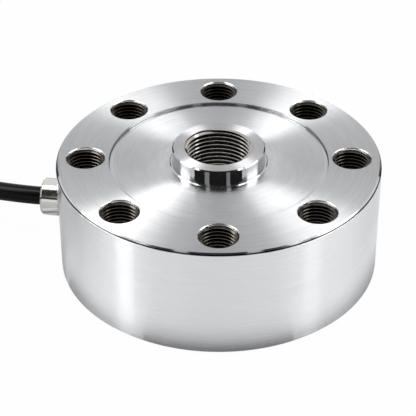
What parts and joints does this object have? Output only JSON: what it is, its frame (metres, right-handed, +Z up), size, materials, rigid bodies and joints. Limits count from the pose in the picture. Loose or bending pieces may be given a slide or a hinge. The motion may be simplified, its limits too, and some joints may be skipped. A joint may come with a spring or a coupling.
{
  "type": "pancake load cell",
  "caption": "Pancake load cell: a low steel ring with threaded mounting holes round a raised threaded hub, and a black cable from a round gland in its side.",
  "frame": {"origin": "centre of the outer ring's underside, on the load axis", "axes": "+Z up along the load axis, out of the threaded hub; the cable gland points 8 degrees from -X towards +Y; a mounting hole lies on +X"},
  "size_m": [0.2501, 0.1131, 0.0425],
  "materials": {
    "element_steel": "turned, fine rings, bright",
    "cover_steel": "turned, fine rings, bright",
    "gland_metal": "polished nickel plate",
    "washer": "natural nylon",
    "seal_rubber": "matt",
    "cable_jacket": "smooth, low gloss",
    "sleeve": "heat-shrunk",
    "lead_red": "smooth",
    "lead_black": "smooth",
    "lead_green": "smooth",
    "lead_white": "smooth",
    "gauge_foil": "polyimide film with an etched foil grid",
    "lead_ribbon": "varnished copper",
    "board": "solder mask",
    "board_pad": "adhesive foam",
    "solder": "bright solder",
    "resistor": "lacquered"
  },
  "bodies": {
    "root": {"load_element": "element_steel", "top_cover": "cover_steel", "bottom_cover": "cover_steel", "gland_body": "gland_metal", "gland_nut": "gland_metal", "gland_washer": "washer", "gland_seal": "seal_rubber", "cable_in_gland": "cable_jacket", "cable_run": "cable_jacket", "cable_coil": "cable_jacket", "end_sleeve": "sleeve", "outer_lead_red": "lead_red", "inner_lead_red": "lead_red", "outer_lead_black": "lead_black", "inner_lead_black": "lead_black", "outer_lead_green": "lead_green", "inner_lead_green": "lead_green", "outer_lead_white": "lead_white", "inner_lead_white": "lead_white", "strain_gauge_1": "gauge_foil", "strain_gauge_2": "gauge_foil", "strain_gauge_3": "gauge_foil", "strain_gauge_4": "gauge_foil", "strain_gauge_5": "gauge_foil", "strain_gauge_6": "gauge_foil", "strain_gauge_7": "gauge_foil", "strain_gauge_8": "gauge_foil", "gauge_leads": "lead_ribbon", "harness_ring": "lead_ribbon", "harness_tail": "lead_ribbon", "terminal_board": "board", "board_adhesive_pad": "board_pad", "solder_joints": "solder", "zero_resistor": "resistor", "span_resistor": "resistor"}
  },
  "joints": []
}
